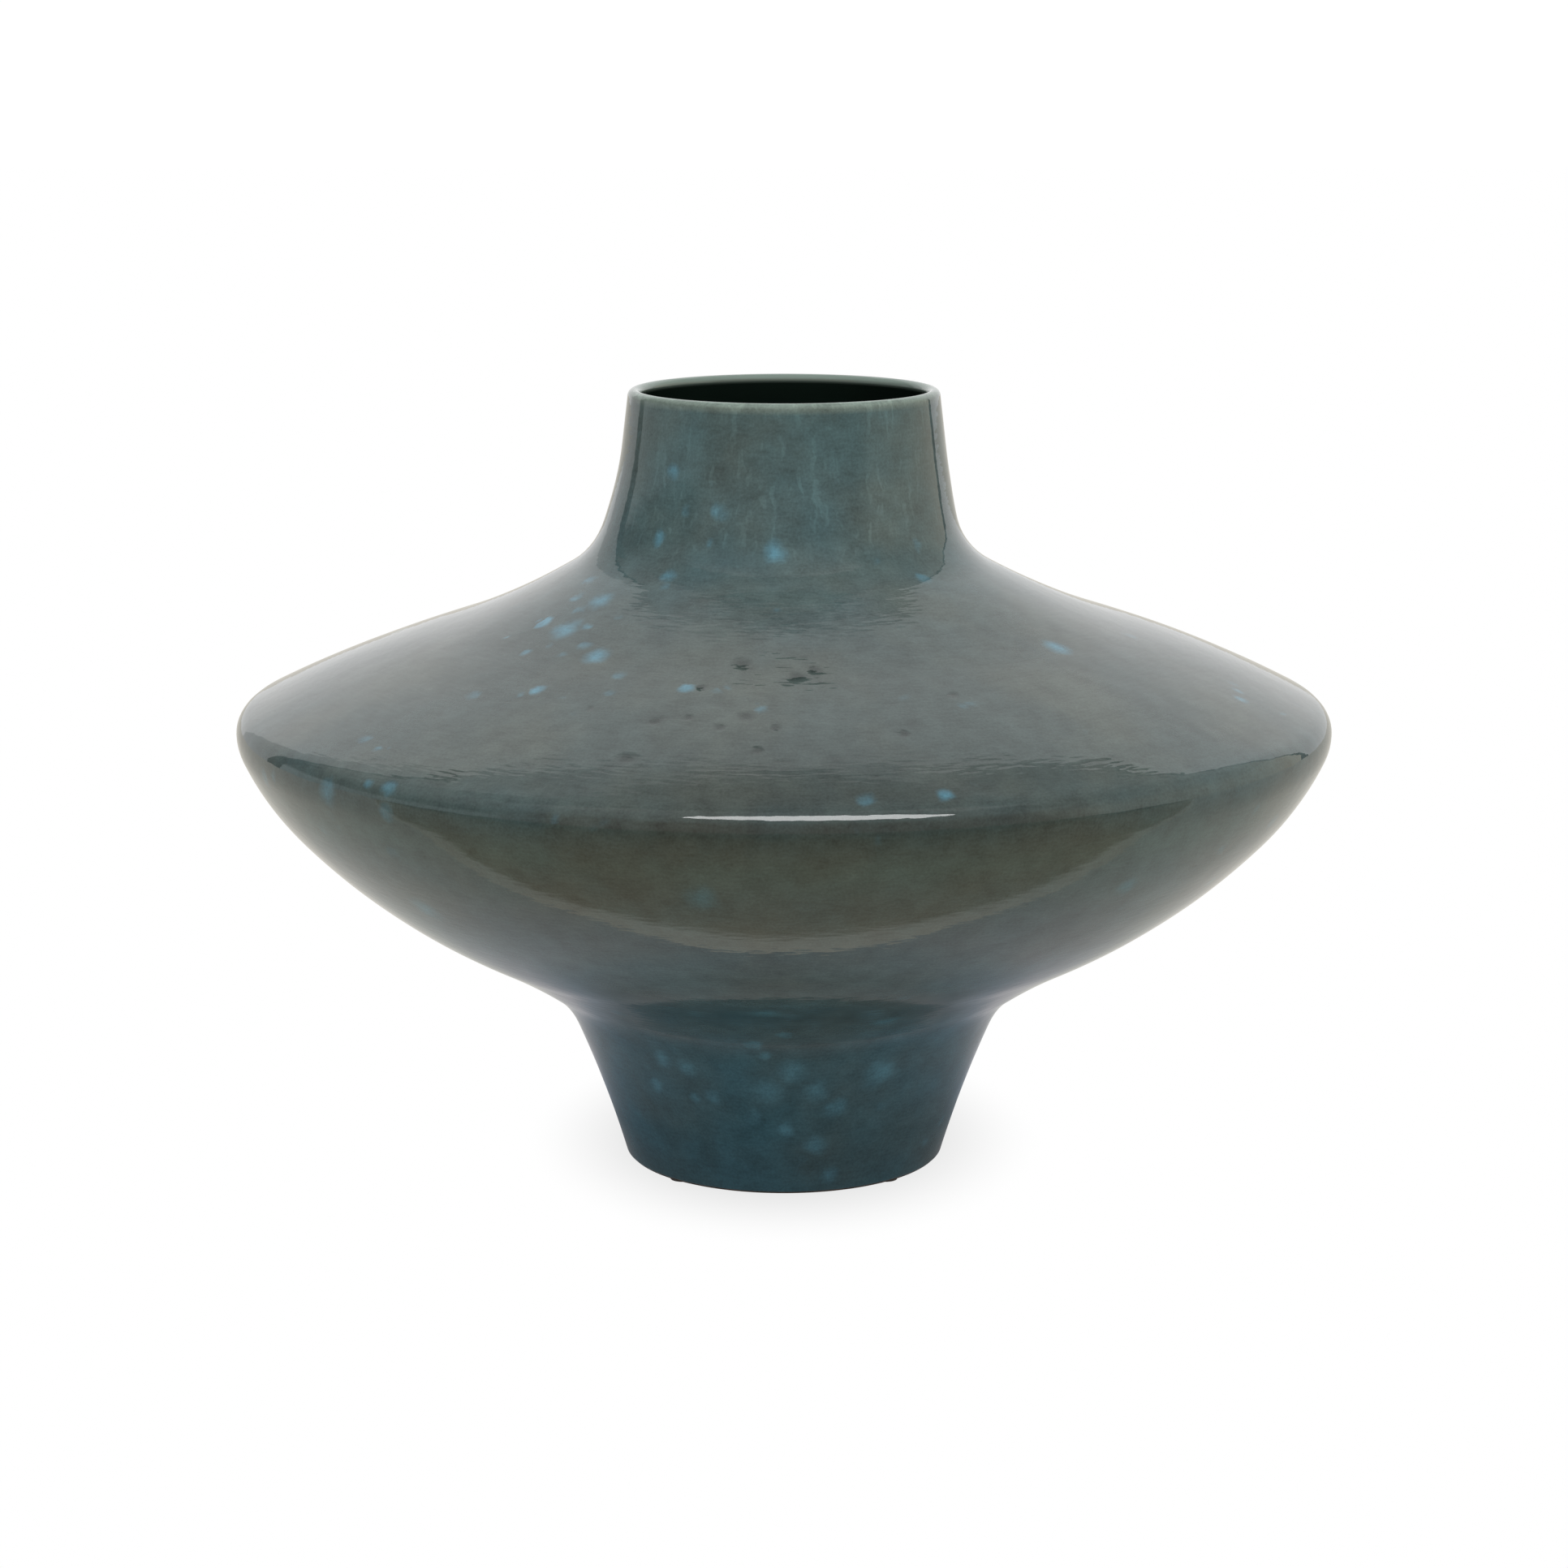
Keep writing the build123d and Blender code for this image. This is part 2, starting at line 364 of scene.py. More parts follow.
@dataclass(frozen=True)
class MottledGlaze:
    """Reactive stoneware glaze, brushed on a slowly turning pot and fired glossy.

    It gives the eye a deep, wet gloss over a dark teal that drifts to olive and to blue, fine dark
    freckles, pale blue spots where the glaze pooled, and short strokes that ruffle the reflections.
    """

    bands: tuple[tuple[float, str], ...] = (
        (0, "#375f6c"), (56, "#37606f"), (64, "#446877"), (72, "#42616c"), (82, "#38545f"), (94, "#4b6670"),
        (108, "#506b74"), (122, "#48616a"), (140, "#49646b"), (152, "#4a6668"), (165, "#3c5154"), (176, "#3b4746"),
        (205, "#394443"), (217, "#3d4b4c"), (232, "#394f52"), (250, "#405b60"), (287, "#3d5659"),
    )
    olive: str = "#4b5048"
    pool_blue: str = "#4c7d90"
    lip_grey: str = "#66756e"
    pit_dark: str = "#1c2423"
    drift: float = 45.0
    mottle: float = 9.0
    freckle: float = 0.9
    stroke: float = 7.5
    stroke_stretch: float = 3.2
    drip: float = 2.4
    drip_stretch: float = 0.12
    pool_cell: float = 12.0
    pool_group: float = 52.0
    pool_strength: float = 0.75
    pit_strength: float = 0.7
    wander: float = 6.0
    wander_reach: float = 4.0
    dent: float = 9.0
    dent_depth: float = 0.05
    stroke_depth: float = 0.045
    pit_depth: float = 0.12
    lip_heights: tuple[float, float] = (283.0, 286.0)
    neck_heights: tuple[float, float] = (226.0, 240.0)
    widest_radius: float = 200.0
    widest_z: float = 165.0
    pools: tuple[Spot, ...] = (
        Spot(-8, 189, 142, 8), Spot(-50, 200, 164, 7), Spot(-3, 65, 236, 6), Spot(-33, 73, 226, 5),
        Spot(-46, 88, 217, 7), Spot(-46, 105, 209, 8), Spot(-33, 117, 205, 7), Spot(-41, 60, 262, 4),
        Spot(-34, 78, 53, 6), Spot(-27, 77, 51, 6), Spot(-20, 73, 40, 5), Spot(2, 78, 52, 8), Spot(-4, 75, 44, 8),
        Spot(9, 75, 43, 7), Spot(27, 76, 49, 9), Spot(15, 72, 36, 7), Spot(10, 65, 21, 6), Spot(16, 61, 8, 5),
        Spot(-3, 120, 84, 8), Spot(20, 105, 75, 7), Spot(-45, 172, 122, 9), Spot(52, 120, 204, 7),
        Spot(38, 185, 136, 6),
    )
    clusters: tuple[Spot, ...] = (
        Spot(-40, 66, 240, 30), Spot(-52, 100, 211, 38), Spot(10, 74, 40, 34), Spot(-30, 76, 46, 22),
        Spot(40, 66, 236, 18), Spot(-62, 190, 142, 34), Spot(60, 182, 130, 30), Spot(0, 86, 68, 30),
        Spot(150, 190, 142, 40), Spot(-140, 100, 211, 40), Spot(175, 74, 40, 30), Spot(110, 66, 245, 26),
    )
    pits: tuple[Spot, ...] = (
        Spot(-16, 153, 193, 4), Spot(-12, 150, 194, 3), Spot(-8, 155, 192, 3.5), Spot(-5, 149, 194, 4.5),
        Spot(-17, 174, 184, 5), Spot(-1, 155, 192, 3), Spot(-7, 116, 205, 5), Spot(2, 124, 202, 4),
        Spot(5, 120, 204, 3.5),
        Spot(-26, 148, 195, 3), Spot(14, 160, 190, 3), Spot(-3, 168, 187, 3), Spot(-12, 132, 200, 3),
        Spot(24, 140, 198, 3),
    )

    def marks(
        self, add: AddNode, place: bpy.types.NodeSocket, spots: Sequence[Spot], soft: float
    ) -> bpy.types.NodeSocket:
        """Paints soft round marks.

        Args:
            add: Adds a node to the material.
            place: Where the surface is, in metres.
            spots: The marks.
            soft: The share of each mark's radius that is full strength.

        Returns:
            0 away from every mark and 1 in the middle of one.
        """
        whole = None
        for spot in spots:
            away = add("VectorMath", {0: place, 1: spot.place}, operation="DISTANCE").outputs["Value"]
            limits = {"Value": away, "From Min": spot.size * MM, "From Max": soft * spot.size * MM}
            one = add("MapRange", limits, interpolation_type="SMOOTHSTEP").outputs["Result"]
            whole = one if whole is None else add("Math", {0: whole, 1: one}, operation="MAXIMUM").outputs[0]
        return whole

    def material(self) -> bpy.types.Material:
        """Makes the glaze."""
        made, add = start_material("mottled_teal_stoneware_glaze")
        place = add("TexCoord").outputs["Object"]
        x, y, z = add("SeparateXYZ", {0: place}).outputs

        # Distance along the outline from the widest line, which lets strokes run round the pot at any slope.
        flat = add("CombineXYZ", {"X": x, "Y": y})
        radius = add("VectorMath", {0: flat.outputs[0]}, operation="LENGTH").outputs["Value"]
        inwards = add("Math", {0: self.widest_radius * MM, 1: radius}, operation="SUBTRACT").outputs[0]
        above = add("Math", {0: z, 1: self.widest_z * MM}, operation="SUBTRACT").outputs[0]
        side = add("Math", {0: above}, operation="SIGN").outputs[0]
        along = add("Math", {0: inwards, 1: side, 2: above}, operation="MULTIPLY_ADD").outputs[0]
        stretched = add("Math", {0: along, 1: self.stroke_stretch}, operation="MULTIPLY").outputs[0]
        round_pot = add("CombineXYZ", {"X": x, "Y": y, "Z": stretched}).outputs[0]

        # Wandering coordinates, so that spots and patches have uneven edges.
        wander_noise = add(
            "TexNoise", {"Vector": place, "Scale": 1 / (self.wander * MM), "Detail": 2.0}
        ).outputs["Color"]
        centred = add("VectorMath", {0: wander_noise, 1: (0.5, 0.5, 0.5)}, operation="SUBTRACT").outputs[0]
        shift = add("VectorMath", {0: centred, "Scale": self.wander_reach * MM}, operation="SCALE").outputs[0]
        wandering = add("VectorMath", {0: place, 1: shift}, operation="ADD").outputs[0]

        # Colour: teal, greyer over the shoulder and bluer on the foot and neck, with patches of olive.
        top = self.bands[-1][0]
        climb = add("MapRange", {"Value": z, "From Max": top * MM}).outputs["Result"]
        ramp = add("ValToRGB", {0: climb}, [(height / top, colour) for height, colour in self.bands])
        drift = add("TexNoise", {"Vector": wandering, "Scale": 1 / (self.drift * MM), "Detail": 3.0}).outputs["Fac"]
        patchy = {"Value": drift, "From Min": 0.4, "From Max": 0.65, "To Max": 0.4}
        olive_share = add("MapRange", patchy).outputs["Result"]

        # Paler pools of blue: some large ones, and small ones of uneven size scattered in groups.
        cells = add("TexVoronoi", {"Vector": wandering, "Scale": 1 / (self.pool_cell * MM)})
        lot = add("SeparateColor", {0: cells.outputs["Color"]}).outputs["Red"]
        reach = add("Math", {0: lot, 1: 0.3, 2: cells.outputs["Distance"]}, operation="MULTIPLY_ADD").outputs[0]
        near = {"Value": reach, "From Min": 0.42, "From Max": 0.16}
        small = add("MapRange", near, interpolation_type="SMOOTHSTEP").outputs["Result"]
        groups = add(
            "TexNoise", {"Vector": place, "Scale": 1 / (self.pool_group * MM), "Detail": 1.0}
        ).outputs["Fac"]
        grouped = add("MapRange", {"Value": groups, "From Min": 0.6, "From Max": 0.7}).outputs["Result"]
        clustered = self.marks(add, place, self.clusters, 0.5)
        where = add("Math", {0: clustered, 1: grouped}, operation="MAXIMUM").outputs[0]
        scattered = add("Math", {0: small, 1: where}, operation="MULTIPLY").outputs[0]
        large = self.marks(add, wandering, self.pools, 0.0)
        pooled = add("Math", {0: large, 1: scattered}, operation="MAXIMUM").outputs[0]
        pool_share = add("Math", {0: pooled, 1: self.pool_strength}, operation="MULTIPLY").outputs[0]

        # The lip, where the glaze ran thin, and the dark pits.
        low, high = self.lip_heights
        rim = add("MapRange", {"Value": z, "From Min": low * MM, "From Max": high * MM}).outputs["Result"]
        pits = self.marks(add, wandering, self.pits, 0.1)
        pit_share = add("Math", {0: pits, 1: self.pit_strength}, operation="MULTIPLY").outputs[0]

        # The patches, pools, lip and pits lie over the body colour in this order.
        body = ramp.outputs[0]
        overlays = (
            (olive_share, self.olive),
            (pool_share, self.pool_blue),
            (rim, self.lip_grey),
            (pit_share, self.pit_dark),
        )
        for share, colour in overlays:
            body = add("Mix", {0: share, 6: body, 7: linear(colour)}, data_type="RGBA").outputs[2]

        # Mottling, freckles, brush strokes, and thin drips that ran down the neck, light and dark.
        mottle = add(
            "TexNoise", {"Vector": wandering, "Scale": 1 / (self.mottle * MM), "Detail": 4.0}
        ).outputs["Fac"]
        freckles = add(
            "TexNoise", {"Vector": place, "Scale": 1 / (self.freckle * MM), "Detail": 2.0}
        ).outputs["Fac"]
        strokes = add(
            "TexNoise", {"Vector": round_pot, "Scale": 1 / (self.stroke * MM), "Detail": 1.0, "Roughness": 0.4}
        ).outputs["Fac"]
        long_drop = add(
            "VectorMath", {0: wandering, 1: (1.0, 1.0, self.drip_stretch)}, operation="MULTIPLY"
        ).outputs[0]
        drips = add("TexNoise", {"Vector": long_drop, "Scale": 1 / (self.drip * MM), "Detail": 1.0}).outputs["Fac"]
        streaked = {"Value": drips, "From Min": 0.58, "From Max": 0.72, "To Min": 0.5, "To Max": 1.2}
        streaks = add("MapRange", streaked).outputs["Result"]
        low, high = self.neck_heights
        on_neck = add("MapRange", {"Value": z, "From Min": low * MM, "From Max": high * MM}).outputs["Result"]
        neck_streaks = add("Mix", {0: on_neck, 2: 0.5, 3: streaks}).outputs[0]
        dark_marks = {"Value": strokes, "From Min": 0.55, "From Max": 0.68, "To Min": 0.5, "To Max": 0.0}
        dashes = add("MapRange", dark_marks).outputs["Result"]
        shade = None
        patterns = ((mottle, 0.8), (freckles, 0.6), (strokes, 0.5), (dashes, 0.35), (neck_streaks, 0.4))
        for pattern, strength in patterns:
            term = add("Math", {0: pattern, 1: strength}, operation="MULTIPLY").outputs[0]
            shade = term if shade is None else add("Math", {0: shade, 1: term}, operation="ADD").outputs[0]
        middle = sum(strength for _, strength in patterns) / 2
        level = add("Math", {0: shade, 1: 1.0 - middle}, operation="ADD").outputs[0]
        body = add("VectorMath", {0: body, "Scale": level}, operation="SCALE").outputs[0]

        # Gloss and the small relief that the reflections show.
        dents = add("TexNoise", {"Vector": wandering, "Scale": 1 / (self.dent * MM), "Detail": 1.0}).outputs["Fac"]
        bump = add("Bump", {"Height": dents, "Distance": self.dent_depth * MM, "Strength": 1.0})
        bump = add(
            "Bump",
            {"Height": strokes, "Distance": self.stroke_depth * MM, "Strength": 1.0, "Normal": bump.outputs[0]},
        )
        pit_bump = {"Height": pits, "Distance": self.pit_depth * MM, "Strength": 1.0, "Normal": bump.outputs[0]}
        bump = add("Bump", pit_bump, invert=True)
        gloss = {"Value": freckles, "From Min": 0.3, "From Max": 0.7, "To Min": 0.015, "To Max": 0.035}
        roughness = add("MapRange", gloss).outputs["Result"]
        shader = add(
            "BsdfPrincipled", {"Base Color": body, "Roughness": roughness, "IOR": 1.5, "Normal": bump.outputs[0]}
        )
        add("OutputMaterial", {"Surface": shader.outputs[0]})
        return made


@dataclass(frozen=True)
class LinerGlaze:
    """Dark liner glaze, poured in and out again: almost black green, with a gloss and a thin, paler lip."""

    deep: str = "#080f0c"
    thin: str = "#101a16"
    lip_grey: str = "#66756e"
    cloud: float = 30.0
    lip_z: float = 283.5
    lip_top: float = 286.0

    def material(self) -> bpy.types.Material:
        """Makes the glaze."""
        made, add = start_material("dark_green_liner_glaze")
        place = add("TexCoord").outputs["Object"]
        z = add("SeparateXYZ", {0: place}).outputs["Z"]
        clouds = add("TexNoise", {"Vector": place, "Scale": 1 / (self.cloud * MM), "Detail": 4.0}).outputs["Fac"]
        body = add("Mix", {0: clouds, 6: linear(self.deep), 7: linear(self.thin)}, data_type="RGBA").outputs[2]
        rim = {"Value": z, "From Min": self.lip_z * MM, "From Max": self.lip_top * MM}
        rim_share = add("MapRange", rim, interpolation_type="SMOOTHSTEP").outputs["Result"]
        body = add("Mix", {0: rim_share, 6: body, 7: linear(self.lip_grey)}, data_type="RGBA").outputs[2]
        dents = add("TexNoise", {"Vector": place, "Scale": 1 / (8 * MM), "Detail": 2.0}).outputs["Fac"]
        bump = add("Bump", {"Height": dents, "Distance": 0.08 * MM, "Strength": 1.0})
        shader = add(
            "BsdfPrincipled", {"Base Color": body, "Roughness": 0.07, "IOR": 1.5, "Normal": bump.outputs[0]}
        )
        add("OutputMaterial", {"Surface": shader.outputs[0]})
        return made


@dataclass(frozen=True)
class BareStoneware:
    """Stoneware fired dark and wiped clean of glaze: a dry brown with sandy grog and turning lines."""

    clay: str = "#4b4138"
    iron: str = "#2c2622"
    grog: float = 0.8
    cloud: float = 14.0
    turning: float = 1.2

    def material(self) -> bpy.types.Material:
        """Makes the clay."""
        made, add = start_material("bare_dark_stoneware")
        place = add("TexCoord").outputs["Object"]
        x, y, z = add("SeparateXYZ", {0: place}).outputs
        clouds = add("TexNoise", {"Vector": place, "Scale": 1 / (self.cloud * MM), "Detail": 4.0}).outputs["Fac"]
        grains = add("TexVoronoi", {"Vector": place, "Scale": 1 / (self.grog * MM)}).outputs["Distance"]
        share = add("Math", {0: clouds, 1: grains}, operation="MULTIPLY").outputs[0]
        body = add("Mix", {0: share, 6: linear(self.clay), 7: linear(self.iron)}, data_type="RGBA").outputs[2]
        flat = add("CombineXYZ", {"X": x, "Y": y}).outputs[0]
        radius = add("VectorMath", {0: flat}, operation="LENGTH").outputs["Value"]
        turns = add("Math", {0: radius, 1: 2 * math.pi / (self.turning * MM)}, operation="MULTIPLY").outputs[0]
        grooves = add("Math", {0: turns}, operation="SINE").outputs[0]
        bump = add("Bump", {"Height": grooves, "Distance": 0.03 * MM, "Strength": 0.6})
        bump = add("Bump", {"Height": grains, "Distance": 0.12 * MM, "Strength": 1.0, "Normal": bump.outputs[0]})
        shader = add(
            "BsdfPrincipled", {"Base Color": body, "Roughness": 0.82, "IOR": 1.5, "Normal": bump.outputs[0]}
        )
        add("OutputMaterial", {"Surface": shader.outputs[0]})
        return made


@dataclass(frozen=True)
class WoolFelt:
    """Pressed wool felt: a soft dark grey with matted fibres and a faint bloom of light at its edges."""

    wool: str = "#3a3a3c"
    pale_fibre: str = "#6b6a68"
    fibre: float = 0.35
    fibre_stretch: float = 6.0

    def material(self) -> bpy.types.Material:
        """Makes the felt."""
        made, add = start_material("pressed_wool_felt")
        place = add("TexCoord").outputs["Object"]
        curl = add("TexNoise", {"Vector": place, "Scale": 1 / (2 * MM), "Detail": 1.0}).outputs["Color"]
        bent = add("VectorMath", {0: curl, "Scale": 2 * MM}, operation="SCALE").outputs[0]
        curled = add("VectorMath", {0: place, 1: bent}, operation="ADD").outputs[0]
        long_way = add(
            "VectorMath", {0: curled, 1: (1.0, self.fibre_stretch, 1.0)}, operation="MULTIPLY"
        ).outputs[0]
        fibres = add(
            "TexNoise", {"Vector": long_way, "Scale": 1 / (self.fibre * self.fibre_stretch * MM), "Detail": 3.0}
        ).outputs["Fac"]
        body = add(
            "Mix", {0: fibres, 6: linear(self.wool), 7: linear(self.pale_fibre)}, data_type="RGBA"
        ).outputs[2]
        bump = add("Bump", {"Height": fibres, "Distance": 0.15 * MM, "Strength": 1.0})
        sockets = {"Base Color": body, "Roughness": 0.95, "Sheen Weight": 0.4, "Normal": bump.outputs[0]}
        shader = add("BsdfPrincipled", sockets)
        add("OutputMaterial", {"Surface": shader.outputs[0]})
        return made


@dataclass
class GlazeCoats:
    """The three glazed skins: the mottled outside, the liner, and the disc in the recess under the foot."""

    outline: Outline
    settling: Settling
    outer_segments: int = 432
    liner_segments: int = 256
    spacing: float = 3.3
    back_spacing: float = 9.0
    liner_spacing: float = 4.0
    recess_segments: int = 128
    relief_height: float = 0.07
    relief_lengths: tuple[float, float] = (26.0, 13.0)
    edge_roll: float = 0.9

    def relief(self, points: np.ndarray, normals: np.ndarray, fade: np.ndarray) -> np.ndarray:
        """Raises and lowers the glazed face gently, as brushed glaze lies on turned clay.

        Args:
            points: The face's points in mm.
            normals: The way out at each point.
            fade: How much of the relief each point takes, from 0 to 1.

        Returns:
            The moved points.
        """
        long_wave, short_wave = self.relief_lengths
        heights = np.array([
            noise.noise(Vector(p / long_wave)) + 0.5 * noise.noise(Vector(p / short_wave) + Vector((7, 3, 5)))
            for p in points
        ])
        return points + normals * (self.relief_height * heights * fade)[:, None]

    def outer(self, material: bpy.types.Material) -> None:
        """Turns the outer coat, whose lower edge rolls over onto the clay."""
        line = self.outline
        foot = line.lower(self.spacing, line.ring_z + line.glaze_line)
        crest = line.lip(line.lip_lean, math.pi / 2)[1:]
        face = np.vstack([foot[::-1], line.upper(self.spacing)[1:], crest])
        extra = np.array([face[0] + (face[1] - face[0]) * share for share in (0.04, 0.1, 0.2, 0.34)])
        face = np.vstack([face[:1], extra, face[1:]])
        steps = np.hypot(*np.diff(face[:, :2], axis=0).T)
        walked = np.concatenate([[0.0], np.cumsum(steps)])
        roll = np.clip(1 - walked / self.edge_roll, 0.0, 1.0)
        depth = 0.9 * line.glaze * (1 - np.sqrt(1 - roll**2))
        back_foot = line.lower(self.back_spacing, line.ring_z + line.glaze_line)
        back = np.vstack(
            [back_foot[::-1], line.upper(self.back_spacing)[1:], line.lip(line.lip_lean, math.pi / 2, 4)[1:]]
        )
        section = np.vstack([line.skin(face, depth), line.skin(back, line.glaze)[::-1]])
        points, faces = turn_up(section, self.outer_segments)
        count = len(face) * self.outer_segments
        angles = np.tile(np.linspace(0.0, 2 * math.pi, self.outer_segments, endpoint=False), len(face))
        lean = np.repeat(face[:, 2], self.outer_segments)
        normals = np.column_stack([np.cos(lean) * np.cos(angles), np.cos(lean) * np.sin(angles), np.sin(lean)])
        to_lip = walked[-1] - walked
        fade = np.repeat(smooth(walked, 1.0, 8.0) * smooth(to_lip, 2.0, 10.0), self.outer_segments)
        points[:count] = self.relief(points[:count], normals, fade)
        make_piece("outer_glaze_coat", self.settling.settle(points), faces, material, "outer_glaze")

    def liner(self, material: bpy.types.Material) -> None:
        """Turns the coat inside, from the top of the lip down to the floor."""
        line = self.outline
        over_lip = line.lip(line.lip_lean + math.pi, math.pi / 2)[1:]
        wall = np.vstack([line.cavity(self.liner_spacing)[::-1], line.upper(self.liner_spacing)[1:]])
        floor = line.floor_top + line.glaze
        middle, back_middle = np.array([[0.0, floor]]), np.array([[0.0, line.floor_top]])
        # The face runs down and in, and the back runs out and up.
        face = np.vstack([line.skin(over_lip[::-1], 0.0), line.skin(wall, line.wall)[::-1], middle])
        back = np.vstack([back_middle, line.skin(wall, line.glaze + line.clay), line.skin(over_lip, line.glaze)])
        points, faces = turn_up(np.vstack([face, back]), self.liner_segments)
        make_piece("liner_glaze_coat", self.settling.settle(points), faces, material, "inner_glaze")

    def recess(self, material: bpy.types.Material) -> None:
        """Turns the disc of glaze under the foot, which thins to a round edge."""
        low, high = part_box("base_glaze")
        edge, bottom, top = high.x / MM, low.z / MM, high.z / MM
        turns = np.linspace(-math.pi / 2, 0.0, 6)
        thick = top - bottom
        rolled = np.column_stack([edge - thick + thick * np.cos(turns), top + thick * np.sin(turns)])
        rings = np.array([[r, bottom] for r in (edge * 0.25, edge * 0.5, edge * 0.75, edge * 0.9)])
        section = np.vstack([[[0.0, bottom]], rings, rolled, [[edge * 0.5, top], [0.0, top]]])
        points, faces = turn_up(section, self.recess_segments)
        make_piece("recess_glaze_disc", self.settling.settle(points), faces, material, "base_glaze")


@dataclass
class ClayShells:
    """The two fired shells that were joined at the widest line, with the ring that the vase stands on."""

    outline: Outline
    settling: Settling
    segments: int = 240
    spacing: float = 5.0
    groove_depth: float = 0.12
    groove_count: int = 4

    def seam(self) -> np.ndarray:
        """The V joint's points, from the outside in."""
        line = self.outline
        middle = line.widest_radius - line.glaze - line.clay / 2
        half, ridge = line.clay / 2, line.ridge_width / 2
        flat, deep = line.widest_z, line.widest_z - line.ridge_depth
        places = ((half, flat), (ridge, flat), (0.0, deep), (-ridge, flat), (-half, flat))
        return np.array([(middle + away, z) for away, z in places])

    def upper(self, material: bpy.types.Material) -> None:
        """Turns the shoulder and neck."""
        line = self.outline
        climb = line.upper(self.spacing)
        lip = line.lip(line.lip_lean, line.lip_lean + math.pi, 12)[1:-1]
        inside = line.skin(climb, line.glaze + line.clay)[::-1]
        section = np.vstack([line.skin(climb, line.glaze), line.skin(lip, line.glaze), inside, self.seam()[3:0:-1]])
        points, faces = turn_up(section, self.segments)
        make_piece(
            "shoulder_and_neck_shell", self.settling.settle(points), faces, material, "upper_shell"
        )

    def ring(self, outer: float) -> np.ndarray:
        """The bare ring's bottom from outside to inside: rounded corners and shallow turned grooves."""
        line, edge = self.outline, self.outline.ring_edge
        inner = outer - line.ring_width
        turns = np.linspace(0.0, math.pi / 2, 5)
        outside = np.column_stack([outer - edge + edge * np.cos(turns), line.ring_z + edge - edge * np.sin(turns)])
        inside = np.column_stack([inner + edge - edge * np.sin(turns), line.ring_z + edge - edge * np.cos(turns)])
        across = np.linspace(outer - edge, inner + edge, 8 * self.groove_count + 1)[1:-1]
        share = (outer - edge - across) / (outer - inner - 2 * edge)
        cut = self.groove_depth * (0.5 - 0.5 * np.cos(2 * math.pi * self.groove_count * share))
        return np.vstack([outside, np.column_stack([across, line.ring_z + cut]), inside])

    def lower(self, material: bpy.types.Material) -> None:
        """Turns the belly and foot, with the floor and the ring."""
        line = self.outline
        outside = line.skin(line.lower(self.spacing, line.ring_z, line.glaze), line.glaze)
        outer = outside[-1][0]
        outside = outside[outside[:, 1] > line.ring_z + 1.5 * line.ring_edge]
        inside = line.skin(line.cavity(self.spacing), line.glaze + line.clay)[::-1]
        ceiling = line.ring_z + line.recess
        inner = outer - line.ring_width
        recess = np.array([[inner, ceiling], [inner * 0.5, ceiling], [0.0, ceiling], [0.0, line.floor_top]])
        section = np.vstack([outside, self.ring(outer), recess, inside, self.seam()[3:0:-1]])[::-1]
        points, faces = turn_up(section, self.segments)
        make_piece(
            "belly_and_foot_shell", self.settling.settle(points), faces, material, "lower_shell"
        )


@dataclass
class FeltFeet:
    """The round felt pads stuck under the ring, cut by a punch and a little squashed."""

    count: int = 4
    segments: int = 64
    bulge: float = 0.25
    fray: float = 0.12

    def build(self, material: bpy.types.Material) -> None:
        """Makes each pad where its CAD node stands."""
        for number in range(1, self.count + 1):
            low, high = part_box(f"foot_pad_{number}")
            middle = (low + high) / 2
            radius, thick = (high.x - low.x) / 2 / MM, (high.z - low.z) / MM
            turns = np.linspace(-math.pi / 2, math.pi / 2, 9)
            side = np.column_stack(
                [radius - self.bulge + self.bulge * np.cos(turns), thick / 2 * (1 + np.sin(turns))]
            )
            inner = np.array([[radius * share, 0.0] for share in (0.4, 0.8)])
            section = np.vstack([[[0.0, 0.0]], inner, side, inner[::-1] + [0.0, thick], [[0.0, thick]]])
            points, faces = turn_up(section, self.segments)
            away = np.hypot(points[:, 0], points[:, 1])
            offset = Vector((0, 0, 9.0 * number))
            rough = np.array([noise.noise(Vector(p) * 1.3 + offset) for p in points])
            pull = 1 - self.fray * np.clip(rough + 0.5, 0.0, 1.0) * smooth(away, radius * 0.7, radius) / radius
            points[:, :2] *= pull[:, None]
            points += np.array([middle.x, middle.y, low.z]) / MM
            make_piece(f"felt_foot_{number}", points, faces, material, f"foot_pad_{number}")


@dataclass(frozen=True)
class Viewpoint:
    """A long lens a little above the lip, looking slightly down at the vase."""

    distance: float = 1.3484
    height: float = 0.421
    pitch: float = 11.751
    lens: float = 85.41

    def place(self) -> None:
        """Sets the camera up."""
        data = bpy.data.cameras.new("camera")
        data.lens, data.sensor_width = self.lens, 36.0
        camera = show("camera", data)
        camera.location = (0.0, -self.distance, self.height)
        camera.rotation_euler = (math.radians(90 - self.pitch), 0.0, 0.0)
        bpy.context.scene.camera = camera


class Seen(Enum):
    """Which rays see a studio piece that the camera doesn't."""

    GLOSS = "gloss"
    ALL = "all"


def flat_sheet(
    name: str, corners: Sequence[Sequence[float]], material: bpy.types.Material
) -> bpy.types.Object:
    """Lays a flat sheet in the studio, which isn't a piece of the vase.

    Args:
        name: Its name.
        corners: Its corners in metres, in order round it.
        material: Its finish.

    Returns:
        The object.
    """
    mesh = bpy.data.meshes.new(name)
    mesh.from_pydata([tuple(c) for c in corners], [], [tuple(range(len(corners)))])
    mesh.materials.append(material)
    sheet = show(name, mesh)
    return sheet


